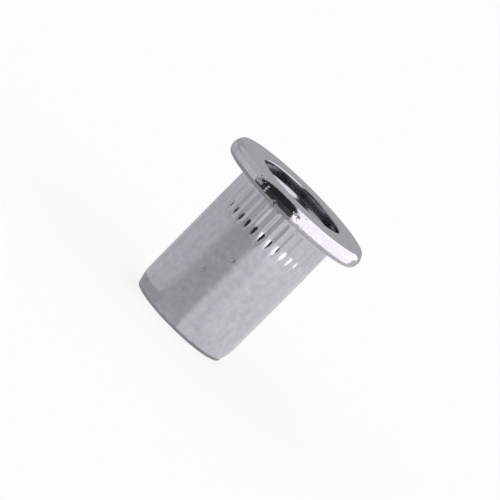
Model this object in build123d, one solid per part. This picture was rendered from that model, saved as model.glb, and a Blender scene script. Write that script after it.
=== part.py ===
from build123d import *
import os
from math import radians, sqrt, tan

# A flat-head rivet nut with an open end and a straight-knurled shank, cold formed in one piece.
# It drops into a round hole in sheet metal until the underside of its flange seats. A setting tool
# then pulls the threaded end up, and the thin smooth part of the shank folds out behind the sheet.
#
# Millimetres. The axis is +Z, the open threaded end stands on Z = 0 and the flange is on top.
# The screw thread itself is not cut: its hole has the tapping-drill size.

# Overall
overall_length = 16.5
shank_diameter = 11.0

# Flange. Its rim bulges in one arc that meets both faces at an edge
flange_diameter = 16.0
flange_thickness = 1.5
rim_nose_depth = 0.85           # the widest point of the rim, below the top face
rim_round = 1.17
flange_root_fillet = 0.20       # between the shank and the underside of the flange

# Smooth thin-walled bore that folds when the nut is set, with a slightly wider mouth
counterbore_diameter = 9.0
counterbore_depth = 8.6
mouth_diameter = 9.5
mouth_depth = 1.0
mouth_step_angle = 40.0         # of the cone between mouth and bore, from the axis
mouth_edge_round = 0.15
shoulder_angle = 55.0           # of the cone down to the threaded bore, from the axis

# Threaded bore, M8 x 1.25
thread_diameter = 8.0
tapping_diameter = 6.8
thread_mouth_margin = 0.15      # how much the lead-in is wider than the thread, each side

# Open end: a shallow lead-in cone with a rounded corner
end_lead_length = 1.35
end_lead_drop = 0.36            # how much the cone narrows the end, each side
end_lead_blend = 2.0            # radius between the shank and the cone
end_corner_round = 0.22

# Straight knurl: shallow V grooves that run out at both ends, with plain lands between them
groove_count = 38
groove_depth = 0.17
groove_angle = 130.0            # included angle of the V
groove_start = 0.30             # from the underside of the flange to the upper tip of a groove
groove_top_runout = 0.40
groove_length = 3.65            # from tip to tip
groove_bottom_runout = 1.45

# Derived sizes
shank_radius = shank_diameter / 2
counterbore_radius = counterbore_diameter / 2
mouth_radius = mouth_diameter / 2
mouth_step_height = (mouth_radius - counterbore_radius) / tan(radians(mouth_step_angle))
tapping_radius = tapping_diameter / 2
thread_mouth_radius = thread_diameter / 2 + thread_mouth_margin
flange_underside = overall_length - flange_thickness
counterbore_floor = overall_length - counterbore_depth
shoulder_height = (counterbore_radius - tapping_radius) / tan(radians(shoulder_angle))
rim_centre_radius = flange_diameter / 2 - rim_round
top_edge_radius = rim_centre_radius + sqrt(rim_round**2 - rim_nose_depth**2)
under_edge_radius = rim_centre_radius + sqrt(rim_round**2 - (flange_thickness - rim_nose_depth)**2)


def half_section():
    """Half of the lengthwise section, right of the axis: the rim's arc and a line with rounded corners."""
    top_edge = (top_edge_radius, overall_length)
    rim_nose = (flange_diameter / 2, overall_length - rim_nose_depth)
    under_edge = (under_edge_radius, flange_underside)
    corners = [
        # Shank, downwards: root of the flange, lead-in cone, open end
        ((shank_radius, flange_underside), flange_root_fillet),
        ((shank_radius, end_lead_length), end_lead_blend),
        ((shank_radius - end_lead_drop, 0), end_corner_round),
        # Inside, upwards: threaded bore, shoulder, smooth bore, mouth
        ((thread_mouth_radius, 0), 0),
        ((tapping_radius, thread_mouth_radius - tapping_radius), 0),
        ((tapping_radius, counterbore_floor - shoulder_height), 0),
        ((counterbore_radius, counterbore_floor), 0),
        ((counterbore_radius, overall_length - mouth_depth - mouth_step_height), 0),
        ((mouth_radius, overall_length - mouth_depth), 0),
        ((mouth_radius, overall_length), mouth_edge_round),
    ]
    points = [under_edge] + [point for point, rounding in corners] + [top_edge]
    roundings = [rounding for point, rounding in corners]
    with BuildSketch(Plane.XZ) as section:
        with BuildLine():
            FilletPolyline(points, radius=roundings)
            ThreePointArc(top_edge, rim_nose, under_edge)
        make_face()
    return section.sketch


def groove_cutter():
    """Wedge on the +X side of the shank whose root line sinks in, runs level and rises out again."""
    upper_tip = flange_underside - groove_start
    lower_tip = upper_tip - groove_length
    overrun = 0.1                   # share of each run-out by which the wedge goes on past its tip
    stations = [
        (upper_tip + overrun * groove_top_runout, -overrun * groove_depth),
        (upper_tip - groove_top_runout, groove_depth),
        (lower_tip + groove_bottom_runout, groove_depth),
        (lower_tip - overrun * groove_bottom_runout, -overrun * groove_depth),
    ]
    flank = tan(radians(groove_angle / 2))
    top_radius = shank_radius + groove_depth
    sections = []
    for height, depth in stations:
        root_radius = shank_radius - depth
        half_width = (top_radius - root_radius) * flank
        root = (root_radius, 0, height)
        left = (top_radius, half_width, height)
        right = (top_radius, -half_width, height)
        sections.append(Wire.make_polygon([root, left, right]))
    return Solid.make_loft(sections, ruled=True)


def rivet_nut():
    """The turned blank with the knurl pressed in. One groove faces -Y."""
    blank = revolve(half_section(), Axis.Z)
    groove = groove_cutter()
    return blank - [place * groove for place in PolarLocations(0, groove_count, start_angle=-90)]


os.makedirs("parts", exist_ok=True)
export_step(rivet_nut(), "parts/rivet_nut.step")
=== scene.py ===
import math
import bpy
from mathutils import Matrix, Vector


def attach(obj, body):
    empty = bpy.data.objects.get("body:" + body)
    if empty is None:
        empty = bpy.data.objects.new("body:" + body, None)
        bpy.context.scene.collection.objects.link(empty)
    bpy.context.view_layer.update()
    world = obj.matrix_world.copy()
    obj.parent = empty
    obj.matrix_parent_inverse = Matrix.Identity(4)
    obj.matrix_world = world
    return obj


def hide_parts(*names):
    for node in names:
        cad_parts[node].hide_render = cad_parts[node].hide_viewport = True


# A flat-head rivet nut in stainless steel: knurled shank, polished flange, cut thread.
# The nut stands on its open end, axis up. Sizes in the dictionaries are millimetres and degrees.

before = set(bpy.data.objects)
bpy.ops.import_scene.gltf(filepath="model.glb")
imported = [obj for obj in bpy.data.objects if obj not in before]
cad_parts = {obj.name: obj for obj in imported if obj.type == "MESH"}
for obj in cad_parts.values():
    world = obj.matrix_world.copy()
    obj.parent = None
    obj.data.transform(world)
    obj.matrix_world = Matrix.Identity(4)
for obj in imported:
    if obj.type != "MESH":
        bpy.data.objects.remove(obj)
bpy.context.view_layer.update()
print("frame loaded")

mm = 0.001

body = {
    "length": 16.5,
    "shankRadius": 5.5,
    "flangeRadius": 8.0,
    "flangeThickness": 1.5,
}

rim = {
    "noseDepth": 0.85,       # widest point of the rim, below the top face
    "round": 1.17,           # the rim is one arc of this radius
    "topEdgeRound": 0.10,
    "underEdgeRound": 0.07,
    "rootFillet": 0.20,
}

bore = {
    "mouthRadius": 4.75,
    "mouthDepth": 1.0,
    "mouthEdgeRound": 0.15,
    "radius": 4.5,
    "stepAngle": 40.0,       # cone between mouth and bore, from the axis
    "depth": 8.6,
    "shoulderAngle": 55.0,   # cone down to the thread, from the axis
}

thread = {
    "major": 4.0,            # M8 x 1.25
    "minor": 3.4,
    "pitch": 1.25,
    "mouthRadius": 4.15,
    "rowsPerTurn": 14,
    "fade": 0.45,            # of a turn, where the thread runs out at each end
}

knurl = {
    "count": 38,
    "depth": 0.17,
    "angle": 130.0,
    "upperTip": 14.7,
    "lowerTip": 11.05,
    "upperRunout": 0.40,
    "lowerRunout": 1.45,
    "softness": 0.055,        # rounding of roots and edges by the rolling
}

openEnd = {
    "leadLength": 1.35,
    "leadDrop": 0.36,
    "leadBlend": 2.0,
    "cornerRound": 0.22,
}


def rad(degrees):
    return math.radians(degrees)


def spread(limits, count):
    return [limits[0] + (limits[1] - limits[0]) * i / (count - 1) for i in range(count)]


# the section of the nut, as a closed run of points (radius, height)

def roundedRun(corners, arcStep):
    # corners are (radius, height, rounding, most distance between points on the stretch that follows)
    run = []
    count = len(corners)
    for i in range(count):
        r, z, rounding, step = corners[i]
        here = Vector((r, z))
        back = Vector(corners[i - 1][:2]) - here
        ahead = Vector(corners[(i + 1) % count][:2]) - here
        if rounding == 0:
            run.append((here, step))
            continue
        half = back.angle(ahead) / 2
        reach = rounding / math.tan(half)
        centre = here + (back.normalized() + ahead.normalized()).normalized() * (rounding / math.sin(half))
        start = here + back.normalized() * reach - centre
        turn = math.pi - 2 * half
        side = 1 if start.y * back.x - start.x * back.y > 0 else -1
        pieces = max(2, round(turn / rad(arcStep)))
        for k in range(pieces + 1):
            a = side * turn * k / pieces
            spot = Vector((start.x * math.cos(a) - start.y * math.sin(a),
                           start.x * math.sin(a) + start.y * math.cos(a)))
            run.append((centre + spot, step if k == pieces else 1e9))
    points = []
    for i, (point, step) in enumerate(run):
        following = run[(i + 1) % len(run)][0]
        pieces = max(1, math.ceil((following - point).length / step - 1e-6))
        for k in range(pieces):
            points.append(point.lerp(following, k / pieces))
    return points


def nutSection():
    top = body["length"]
    under = top - body["flangeThickness"]
    nose = top - rim["noseDepth"]
    rimCentre = body["flangeRadius"] - rim["round"]
    lowAngle = math.asin((under - nose) / rim["round"])
    highAngle = math.asin((top - nose) / rim["round"])
    rimArc = [(rimCentre + rim["round"] * math.cos(a), nose + rim["round"] * math.sin(a), 0, 9)
              for a in spread((lowAngle, highAngle), 18)]
    underEdge, topEdge = rimArc[0], rimArc[-1]
    shank = body["shankRadius"]
    boreFloor = top - bore["depth"]
    threadTop = boreFloor - (bore["radius"] - thread["minor"]) / math.tan(rad(bore["shoulderAngle"]))
    stepHeight = (bore["mouthRadius"] - bore["radius"]) / math.tan(rad(bore["stepAngle"]))
    stepEnd = top - bore["mouthDepth"] - stepHeight
    threadStep = thread["pitch"] / thread["rowsPerTurn"]
    mouthBottom = thread["mouthRadius"] - thread["minor"]
    corners = [
        # outside, upwards
        (thread["mouthRadius"], 0, 0.03, 0.5),
        (shank - openEnd["leadDrop"], 0, openEnd["cornerRound"], 0.4),
        (shank, openEnd["leadLength"], openEnd["leadBlend"], 0.5),
        (shank, knurl["lowerTip"] - 0.15, 0, 0.11),
        (shank, knurl["upperTip"] + 0.05, 0, 0.2),
        (shank, under, rim["rootFillet"], 0.9),
        (underEdge[0], under, rim["underEdgeRound"], 9),
        *rimArc[1:-1],
        (topEdge[0], top, rim["topEdgeRound"], 0.8),
        # inside, downwards
        (bore["mouthRadius"], top, bore["mouthEdgeRound"], 0.3),
        (bore["mouthRadius"], top - bore["mouthDepth"], 0.04, 0.12),
        (bore["radius"], stepEnd, 0.08, 0.9),
        (bore["radius"], boreFloor, 0.15, 0.25),
        (thread["minor"], threadTop, 0.06, threadStep),
        (thread["minor"], mouthBottom, 0, 0.09),
    ]
    return roundedRun(corners, 9.0)


# what departs from a plain turned body: grooves, thread and dents

def softPlus(value, softness):
    return 0.5 * (value + math.sqrt(value * value + softness * softness))


def grooveDepth(angle, height):
    pitch = 2 * math.pi / knurl["count"]
    if not knurl["lowerTip"] - 0.2 < height < knurl["upperTip"] + 0.1:
        return 0
    fall = min((knurl["upperTip"] - height) / knurl["upperRunout"], 1)
    rise = 1 - (height - knurl["lowerTip"]) / knurl["lowerRunout"]      # 1 at the lower tip
    if rise > 0:
        fall = min(fall, 1 - rise ** 1.3)                                # run-out slightly bowed
    offset = (angle + math.pi / 2 + pitch / 2) % pitch - pitch / 2
    across = abs(offset) * body["shankRadius"]
    across = math.sqrt(across ** 2 + knurl["softness"] ** 2) - knurl["softness"] * 0.5
    cut = knurl["depth"] * fall - across / math.tan(rad(knurl["angle"] / 2))
    return softPlus(cut, knurl["softness"]) if cut > -0.12 else 0


def threadDepth(angle, height):
    # 60 degree thread: flat crest an eighth of the pitch at the root, a quarter at the minor diameter
    low = thread["mouthRadius"] - thread["minor"]
    shoulder = (bore["radius"] - thread["minor"]) / math.tan(rad(bore["shoulderAngle"]))
    high = body["length"] - bore["depth"] - shoulder
    turn = ((height / thread["pitch"]) - angle / (2 * math.pi)) % 1
    wave = abs(turn - 0.5) * 2              # 0 at the root of the thread, 1 between turns
    deep = min(1, max(0, (0.75 - wave) / 0.625))
    ends = min((high - height) / (thread["fade"] * thread["pitch"]), 1)
    return (thread["major"] - thread["minor"]) * deep * max(0, ends) if height > low - 0.6 else 0


nicks = [
    # angle round the rim, height, radius, depth
    (-108.5, 15.62, 0.16, 0.05),
    (-99.5, 15.33, 0.20, 0.06),
    (-83.0, 15.80, 0.22, 0.05),
    (-80.5, 15.45, 0.20, 0.05),
    (-78.5, 15.25, 0.16, 0.04),
    (-125.0, 16.42, 0.14, 0.05),
    (40.0, 15.70, 0.22, 0.05),
    (133.0, 15.50, 0.20, 0.05),
    (171.0, 15.85, 0.18, 0.04),
]


def nickDepth(point):
    total = 0
    for angle, height, radius, depth in nicks:
        centre = Vector((7.9 * math.cos(rad(angle)), 7.9 * math.sin(rad(angle)), height))
        near = 1 - (point - centre).length / (radius * 1.6)
        if near > 0:
            total += depth * near * near * (3 - 2 * near)
    return total


# the nut as one grid: columns round the axis, rows along the section

def columnAngles():
    pitch = 2 * math.pi / knurl["count"]
    edge = knurl["depth"] * math.tan(rad(knurl["angle"] / 2)) / body["shankRadius"]
    parts = [-0.72 * edge, -0.36 * edge, 0, 0.36 * edge, 0.72 * edge, edge, edge + 0.30 * (pitch - 2 * edge),
             edge + 0.5 * (pitch - 2 * edge), edge + 0.70 * (pitch - 2 * edge), pitch - edge]
    return [g * pitch + part - math.pi / 2 for g in range(knurl["count"]) for part in parts]


def surfacePoint(spot, angle):
    r, z = spot
    if r > body["shankRadius"] - 0.02 and z < body["length"] - body["flangeThickness"] - 0.1:
        r -= grooveDepth(angle, z)
    elif r < thread["minor"] + 0.8 and z < body["length"] - bore["depth"] and r <= thread["mouthRadius"]:
        r = max(r, thread["minor"] + threadDepth(angle, z))      # whichever is wider, mouth cone or thread
    point = Vector((r * math.cos(angle), r * math.sin(angle), z))
    if r > 7.3:
        inward = Vector((-math.cos(angle), -math.sin(angle), 0))
        point += inward * nickDepth(point)
    return point


def finishOf(spot):
    # which surface finish a row of the section has
    r, z = spot
    top = body["length"]
    if z > top - 0.01:
        return "face"
    if r > body["shankRadius"] + 0.25 and z > top - body["flangeThickness"] - 0.01:
        return "rim"
    if r > body["shankRadius"] - 0.6:
        return "shank"
    if z < top - bore["depth"] - 0.5:
        return "thread"
    return "bore"


def buildNut(finishes):
    section = nutSection()
    angles = columnAngles()
    rows, columns = len(section), len(angles)
    vertices = [surfacePoint(spot, angle) * mm for spot in section for angle in angles]
    faces, slots = [], []
    names = list(finishes)
    for i in range(rows):
        j = (i + 1) % rows
        middle = (section[i] + section[j]) / 2
        finish = finishOf(middle)
        for k in range(columns):
            n = (k + 1) % columns
            faces.append((i * columns + k, i * columns + n, j * columns + n, j * columns + k))
            pressed = finish == "shank" and grooveDepth((angles[k] + angles[k - 1]) / 2, middle.y) > 0.02
            slots.append(names.index("groove" if pressed else finish))
    mesh = bpy.data.meshes.new("rivetNut")
    mesh.from_pydata(vertices, [], faces)
    for name in names:
        mesh.materials.append(finishes[name])
    mesh.polygons.foreach_set("material_index", slots)
    mesh.polygons.foreach_set("use_smooth", [True] * len(faces))
    mesh.validate()
    mesh.update()
    nut = bpy.data.objects.new("rivetNut", mesh)
    bpy.context.collection.objects.link(nut)
    print("nut built:", rows, "rows,", columns, "columns,", 2 * rows * columns, "triangles")
    return nut


def linear(hexColour):
    # sRGB hex to linear
    parts = [int(hexColour[i:i + 2], 16) / 255 for i in (1, 3, 5)]
    return tuple(c / 12.92 if c <= 0.04045 else ((c + 0.055) / 1.055) ** 2.4 for c in parts) + (1,)


def addNode(tree, kind, settings=None, links=None):
    # settings are the node's own properties or its inputs, links are input: (node, output)
    node = tree.nodes.new(kind)
    for name, value in (settings or {}).items():
        if isinstance(name, str) and hasattr(node, name) and name not in node.inputs:
            setattr(node, name, value)
        else:
            node.inputs[name].default_value = value
    for name, (source, output) in (links or {}).items():
        tree.links.new(source.outputs[output], node.inputs[name])
    return node


marks = {
    "pitDepth": 0.03,
    "scuffSteepness": 2.2,   # depth over radius, steeper than real so that a scuff shows at this size
}


def steelMaterial(name, look):
    # shared build of the stainless finishes: base colour with mottling, tool lines, fine bump
    material = bpy.data.materials.new(name)
    material.use_nodes = True
    tree = material.node_tree
    tree.nodes.clear()
    place = addNode(tree, "ShaderNodeTexCoord")
    lines = addNode(tree, "ShaderNodeMapping", {"Scale": look["lineScale"]}, {"Vector": (place, "Object")})
    lineNoise = addNode(tree, "ShaderNodeTexNoise", {"Scale": 1.0, "Detail": 3.0, "Roughness": 0.6},
                        {"Vector": (lines, "Vector")})
    mottle = addNode(tree, "ShaderNodeTexNoise",
                     {"Scale": 1 / (look["mottleSize"] * mm), "Detail": 4.0, "Roughness": 0.55},
                     {"Vector": (place, "Object")})
    lightDark = addNode(tree, "ShaderNodeMapRange",
                        {"From Min": 0.3, "From Max": 0.7, "To Min": 0.0, "To Max": 1.0},
                        {"Value": (mottle, "Fac")})
    colour = addNode(tree, "ShaderNodeMix", {"data_type": "RGBA"}, {"Factor": (lightDark, "Result")})
    colour.inputs[6].default_value = linear(look["dark"])
    colour.inputs[7].default_value = linear(look["light"])
    rough = addNode(tree, "ShaderNodeMapRange",
                    {"From Min": 0.3, "From Max": 0.7, "To Min": look["smooth"], "To Max": look["rough"]},
                    {"Value": (lineNoise, "Fac")})
    bump = addNode(tree, "ShaderNodeBump", {"Strength": look["bump"], "Distance": look["bumpHeight"] * mm},
                   {"Height": (lineNoise, "Fac")})
    wave = addNode(tree, "ShaderNodeBump", {"Strength": look["wave"], "Distance": look["waveHeight"] * mm},
                   {"Height": (mottle, "Fac"), "Normal": (bump, "Normal")})
    cells = addNode(tree, "ShaderNodeTexVoronoi", {"Scale": 1 / (look["pitSpacing"] * mm)},
                    {"Vector": (place, "Object")})
    pitShare = look["pitSize"] / look["pitSpacing"]
    pits = addNode(tree, "ShaderNodeMapRange",
                   {"From Min": 0.0, "From Max": pitShare, "To Min": 0.0, "To Max": 1.0},
                   {"Value": (cells, "Distance")})
    last = addNode(tree, "ShaderNodeBump", {"Strength": look["pits"], "Distance": marks["pitDepth"] * mm},
                   {"Height": (pits, "Result"), "Normal": (wave, "Normal")})
    for spot, radius in look.get("scuffs", []):
        # a short dent where another part has struck this one
        away = addNode(tree, "ShaderNodeVectorMath", {"operation": "DISTANCE", 1: Vector(spot) * mm},
                       {0: (place, "Object")})
        dent = addNode(tree, "ShaderNodeMapRange", {"interpolation_type": "SMOOTHSTEP", "From Min": 0.0,
                       "From Max": radius * mm, "To Min": 0.0, "To Max": 1.0}, {"Value": (away, "Value")})
        last = addNode(tree, "ShaderNodeBump", {"Strength": 1.0, "Distance": marks["scuffSteepness"] * radius * mm},
                       {"Height": (dent, "Result"), "Normal": (last, "Normal")})
    shader = addNode(tree, "ShaderNodeBsdfPrincipled", {"Metallic": 1.0},
                     {"Base Color": (colour, 2), "Roughness": (rough, "Result"), "Normal": (last, "Normal")})
    addNode(tree, "ShaderNodeOutputMaterial", None, {"Surface": (shader, "BSDF")})
    return material


def nutFinishes():
    acrossLine = 1 / (0.16 * mm)     # tool lines 0.16 mm apart, coarser than real so that they show
    alongLine = 1 / (7 * mm)
    return {
        # cold-formed and tumbled: a satin grey with faint draw lines along the shank
        "shank": steelMaterial("stainlessSatinColdFormed", {
            "lineScale": (acrossLine, acrossLine, alongLine), "mottleSize": 0.6,
            "dark": "#b4b2b9", "light": "#c3c1c8", "smooth": 0.20, "rough": 0.27,
            "bump": 0.12, "bumpHeight": 0.01, "wave": 0.22, "waveHeight": 0.02,
            "pits": 0.03, "pitSize": 0.12, "pitSpacing": 0.9,
            "scuffs": [((-0.28, -5.49, 8.55), 0.20), ((-0.55, -5.47, 8.63), 0.14),
                       ((-1.75, -5.21, 6.15), 0.20), ((-1.55, -5.28, 6.02), 0.16)]}),
        # pressed by the knurling die: the same steel, bright where the die slid
        "groove": steelMaterial("stainlessPressedKnurl", {
            "lineScale": (acrossLine, acrossLine, alongLine), "mottleSize": 0.5,
            "dark": "#b8b6bd", "light": "#c3c1c8", "smooth": 0.06, "rough": 0.11,
            "bump": 0.10, "bumpHeight": 0.01, "wave": 0.12, "waveHeight": 0.02,
            "pits": 0.05, "pitSize": 0.10, "pitSpacing": 0.7}),
        # burnished by the heading die: mirror-like, it shows the lamps as hard shapes
        "rim": steelMaterial("stainlessBurnishedRim", {
            "lineScale": (1 / (0.5 * mm),) * 3, "mottleSize": 0.28,
            "dark": "#bab8be", "light": "#c8c6cb", "smooth": 0.07, "rough": 0.13,
            "bump": 0.05, "bumpHeight": 0.01, "wave": 0.35, "waveHeight": 0.02,
            "pits": 0.6, "pitSize": 0.11, "pitSpacing": 0.42,
            "scuffs": [((-2.72, -7.52, 15.50), 0.13), ((-2.72, -7.52, 15.75), 0.13),
                       ((-2.70, -7.50, 16.00), 0.13), ((-1.34, -7.87, 15.36), 0.24),
                       ((-4.61, -6.45, 16.30), 0.13), ((0.80, -7.92, 15.95), 0.13)]}),
        # faced flat by the die: even pale grey
        "face": steelMaterial("stainlessPressedFace", {
            "lineScale": (1 / (0.4 * mm),) * 3, "mottleSize": 0.8,
            "dark": "#b7b6bb", "light": "#bfbec3", "smooth": 0.18, "rough": 0.24,
            "bump": 0.05, "bumpHeight": 0.01, "wave": 0.08, "waveHeight": 0.02,
            "pits": 0.05, "pitSize": 0.10, "pitSpacing": 0.8}),
        # drawn smooth inside; its colour is painted darker than the shank's, painted shade for the inside of the
        # hole, which also darkens by reflecting itself
        "bore": steelMaterial("stainlessDrawnBore", {
            "lineScale": (acrossLine, acrossLine, alongLine), "mottleSize": 0.9,
            "dark": "#a4a2a8", "light": "#b2b0b6", "smooth": 0.14, "rough": 0.20,
            "bump": 0.08, "bumpHeight": 0.01, "wave": 0.05, "waveHeight": 0.02,
            "pits": 0.03, "pitSize": 0.10, "pitSpacing": 0.9}),
        # tapped thread: bright cut flanks with lines that follow the tap
        "thread": steelMaterial("stainlessTappedThread", {
            "lineScale": (1 / (1.5 * mm), 1 / (1.5 * mm), 1 / (0.05 * mm)), "mottleSize": 0.6,
            "dark": "#a9a7ab", "light": "#bbb9bd", "smooth": 0.16, "rough": 0.28,
            "bump": 0.10, "bumpHeight": 0.008, "wave": 0.05, "waveHeight": 0.01,
            "pits": 0.03, "pitSize": 0.10, "pitSpacing": 0.9}),
    }


nut = buildNut(nutFinishes())
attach(nut, "root")
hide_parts("rivet_nut")

# studio: floor, white surroundings, panels round the nut

studio = {
    "floorSize": 3000.0,
    "floorColour": "#f4f4f4",
    "floorGlow": 0.78,        # share of plain white, the rest takes the nut's shadow
    "panelDistance": 160.0,
    "panelCentre": 9.0,       # height of the panels' common centre
    "panelColour": "#fdfcff",
    "stripRadius": 10.0,
}

# azimuth 0 is the camera's side, positive to its right; brightness 1 is white
panels = {
    "keyRight": {"azimuth": (17, 150), "elevation": (0.5, 11), "brightness": 2.3},
    "keyRightHigh": {"azimuth": (17, 150), "elevation": (11, 84), "brightness": 1.75},
    "flagFront": {"azimuth": (-58, 14), "elevation": (0.5, 84), "brightness": 0.03},
    "flagLeft": {"azimuth": (-135, -58), "elevation": (0.5, 10), "brightness": 0.03},
    "greyLeft": {"azimuth": (-135, -58), "elevation": (10, 84), "brightness": 0.72},
    "greyBack": {"azimuth": (150, 225), "elevation": (0.5, 84), "brightness": 0.52},
}

# strips close round the rim, which only the rim sees
rimStrips = {
    "stripDark": {"azimuth": (-30, -14), "height": (13.95, 16.3), "brightness": 0.05},
    "stripDarkMiddle": {"azimuth": (-14, -4), "height": (13.95, 16.3), "brightness": 0.065},
    "stripDarkRight": {"azimuth": (-4, 6), "height": (13.95, 16.3), "brightness": 0.085},
    "stripDarkEnd": {"azimuth": (-38, -30), "height": (13.95, 14.9), "brightness": 0.07},
    "stripGreyEnd": {"azimuth": (-38, -30), "height": (14.9, 16.3), "brightness": 0.5},
    "stripLight": {"azimuth": (8, 88), "height": (13.95, 16.3), "brightness": 1.75},
    "stripLightEnd": {"azimuth": (88, 108), "height": (13.95, 16.3), "brightness": 0.72},
    "stripGreyLeft": {"azimuth": (-60, -38), "height": (13.95, 16.3), "brightness": 0.82},
    "stripGreyLeftMiddle": {"azimuth": (-80, -60), "height": (13.95, 16.3), "brightness": 0.75},
    "stripGreyLeftEnd": {"azimuth": (-105, -80), "height": (13.95, 16.3), "brightness": 0.63},
    "stripGreyBack": {"azimuth": (108, 255), "height": (13.95, 16.3), "brightness": 0.42},
}

# flat glowing rings just under the rim, which its lower edge sees: painted shade, grey and dark sheets in place of
# the shade under the flange in the rim's reflection
underShadeRings = {
    "underShadeFront": {"azimuth": (-180, 6), "radius": (8.3, 10), "height": 13.94, "brightness": 0.44},
    "underShadeRight": {"azimuth": (6, 180), "radius": (8.3, 10), "height": 13.94, "brightness": 0.78},
    # the darkest ring, nearest the rim, is painted shade for the thin dark line along the flange's lower edge
    "underShadeLine": {"azimuth": (-180, 180), "radius": (8.05, 8.3), "height": 13.94, "brightness": 0.30},
}

# grey paper on the table, which only the metal sees; the foot sheets are painted shade, grey in place of the white
# floor round the nut's foot, where the contact shade would fall
tableCards = {
    "cardFront": {"azimuth": (-55, 3), "radius": (9, 400), "brightness": 0.6},
    "cardLeft": {"azimuth": (-120, -55), "radius": (9, 400), "brightness": 0.78},
    "cardFarLeft": {"azimuth": (-158, -120), "radius": (9, 400), "brightness": 0.68},
    "cardBack": {"azimuth": (158, 202), "radius": (9, 400), "brightness": 0.5},
    "cardRight": {"azimuth": (18, 36), "radius": (9, 400), "brightness": 0.85},
    # painted shade round the foot in the metal's reflection, with a thin ring of it all round the foot's edge
    "footShadeFront": {"azimuth": (-35, 3), "radius": (5.6, 9), "brightness": 0.64},
    "footShadeLeftMiddle": {"azimuth": (-80, -35), "radius": (5.6, 9), "brightness": 0.54},
    "footShadeLeft": {"azimuth": (-158, -80), "radius": (5.6, 9), "brightness": 0.46},
    "footShadeRight": {"azimuth": (3, 158), "radius": (5.6, 9), "brightness": 0.97},
    "footShadeLine": {"azimuth": (-180, 180), "radius": (5.15, 5.6), "brightness": 0.42},
}


def glowMaterial(name, brightness):
    material = bpy.data.materials.new(name)
    material.use_nodes = True
    tree = material.node_tree
    tree.nodes.clear()
    glow = addNode(tree, "ShaderNodeEmission",
                   {"Color": linear(studio["panelColour"]), "Strength": brightness})
    addNode(tree, "ShaderNodeOutputMaterial", None, {"Surface": (glow, "Emission")})
    return material


def sheetObject(name, rows, material, seenOnlyByMetal):
    # rows is a grid of points in mm
    columns = len(rows[0])
    faces = [(i * columns + k, i * columns + k + 1, (i + 1) * columns + k + 1, (i + 1) * columns + k)
             for i in range(len(rows) - 1) for k in range(columns - 1)]
    mesh = bpy.data.meshes.new(name)
    mesh.from_pydata([Vector(p) * mm for row in rows for p in row], [], faces)
    mesh.materials.append(material)
    sheet = bpy.data.objects.new(name, mesh)
    bpy.context.collection.objects.link(sheet)
    if seenOnlyByMetal:
        sheet.visible_camera = False
        sheet.visible_diffuse = False
        sheet.visible_shadow = False
    return sheet


def roundPoint(azimuth, radius, height):
    return (radius * math.sin(rad(azimuth)), -radius * math.cos(rad(azimuth)), height)


def buildStudio():
    reach = studio["panelDistance"]
    for name, p in panels.items():
        rows = [[roundPoint(a, reach * math.cos(rad(e)), studio["panelCentre"] + reach * math.sin(rad(e)))
                 for a in spread(p["azimuth"], 25)] for e in spread(p["elevation"], 13)]
        sheetObject(name, rows, glowMaterial(name, p["brightness"]), True)
    for name, p in rimStrips.items():
        rows = [[roundPoint(a, studio["stripRadius"], z) for a in spread(p["azimuth"], 25)]
                for z in p["height"]]
        sheetObject(name, rows, glowMaterial(name, p["brightness"]), True)
    for name, p in underShadeRings.items():
        rows = [[roundPoint(a, r, p["height"]) for a in spread(p["azimuth"], 49)] for r in p["radius"]]
        sheetObject(name, rows, glowMaterial(name, p["brightness"]), True)
    for name, p in tableCards.items():
        rows = [[roundPoint(a, r, 0.01) for a in spread(p["azimuth"], 25)] for r in p["radius"]]
        sheetObject(name, rows, glowMaterial(name, p["brightness"]), True)
    half = studio["floorSize"] / 2
    floor = sheetObject("floor", [[(-half, -half, 0), (half, -half, 0)], [(-half, half, 0), (half, half, 0)]],
                        floorMaterial(), False)
    return floor


def seenDirectly(tree):
    # 1 for rays from the camera, from metal and from glass
    path = addNode(tree, "ShaderNodeLightPath")
    either = addNode(tree, "ShaderNodeMath", {"operation": "MAXIMUM"})
    tree.links.new(path.outputs["Is Camera Ray"], either.inputs[0])
    tree.links.new(path.outputs["Is Glossy Ray"], either.inputs[1])
    every = addNode(tree, "ShaderNodeMath", {"operation": "MAXIMUM"})
    tree.links.new(either.outputs[0], every.inputs[0])
    tree.links.new(path.outputs["Is Transmission Ray"], every.inputs[1])
    return every


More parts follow.
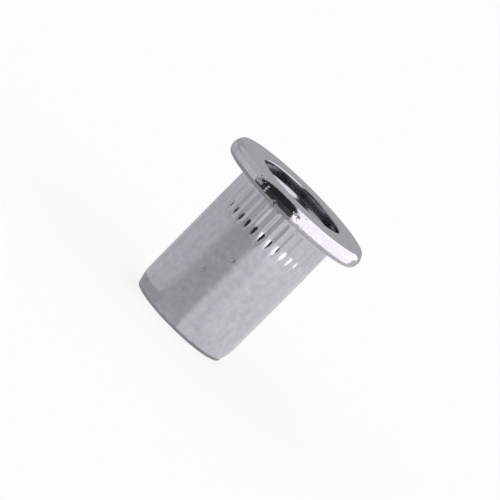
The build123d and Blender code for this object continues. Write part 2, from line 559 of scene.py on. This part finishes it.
def floorMaterial():
    # matt white table: plain white to the eye, with the nut's soft shadow
    material = bpy.data.materials.new("mattWhiteTable")
    material.use_nodes = True
    tree = material.node_tree
    tree.nodes.clear()
    share = addNode(tree, "ShaderNodeMath", {"operation": "MULTIPLY", 1: studio["floorGlow"]})
    tree.links.new(seenDirectly(tree).outputs[0], share.inputs[0])
    paint = addNode(tree, "ShaderNodeBsdfDiffuse", {"Color": linear(studio["floorColour"])})
    glow = addNode(tree, "ShaderNodeEmission", {"Color": (1, 1, 1, 1), "Strength": 1.0})
    mix = addNode(tree, "ShaderNodeMixShader")
    tree.links.new(share.outputs[0], mix.inputs[0])
    tree.links.new(paint.outputs[0], mix.inputs[1])
    tree.links.new(glow.outputs[0], mix.inputs[2])
    addNode(tree, "ShaderNodeOutputMaterial", None, {"Surface": (mix, "Shader")})
    return material


def whiteWorld():
    world = bpy.data.worlds.new("whiteSurroundings")
    bpy.context.scene.world = world
    world.use_nodes = True
    back = world.node_tree.nodes["Background"]
    back.inputs["Color"].default_value = (1, 1, 1, 1)
    back.inputs["Strength"].default_value = 1.0


buildStudio()
whiteWorld()
print("studio built")

# camera: almost level, far off with a long lens, rolled so that the nut leans to the right

shot = {
    "azimuth": 0.5,
    "elevation": 8.76,
    "lean": 44.7,            # of the nut's axis from upright, as it shows
    "distance": 600.0,
    "fieldWidth": 46.13,     # at the nut
    "aimHeight": 9.48,
    "aimAcross": 0.06,
}


def buildCamera():
    a, e, roll = rad(shot["azimuth"]), rad(shot["elevation"]), rad(shot["lean"])
    back = Vector((math.sin(a) * math.cos(e), -math.cos(a) * math.cos(e), math.sin(e)))
    right = Vector((math.cos(a), math.sin(a), 0))
    up = back.cross(right)
    cameraRight = right * math.cos(roll) + up * math.sin(roll)
    cameraUp = up * math.cos(roll) - right * math.sin(roll)
    aim = Vector((0, 0, shot["aimHeight"])) + right * shot["aimAcross"]
    data = bpy.data.cameras.new("camera")
    data.sensor_width = 36
    data.lens = 36 * shot["distance"] / shot["fieldWidth"]
    data.clip_start = 0.05
    data.clip_end = 20
    camera = bpy.data.objects.new("camera", data)
    bpy.context.collection.objects.link(camera)
    turn = Matrix((cameraRight, cameraUp, back)).transposed().to_4x4()
    camera.matrix_world = Matrix.Translation((aim + back * shot["distance"]) * mm) @ turn
    bpy.context.scene.camera = camera


buildCamera()
bpy.context.scene.view_settings.view_transform = "Standard"
print("camera set")
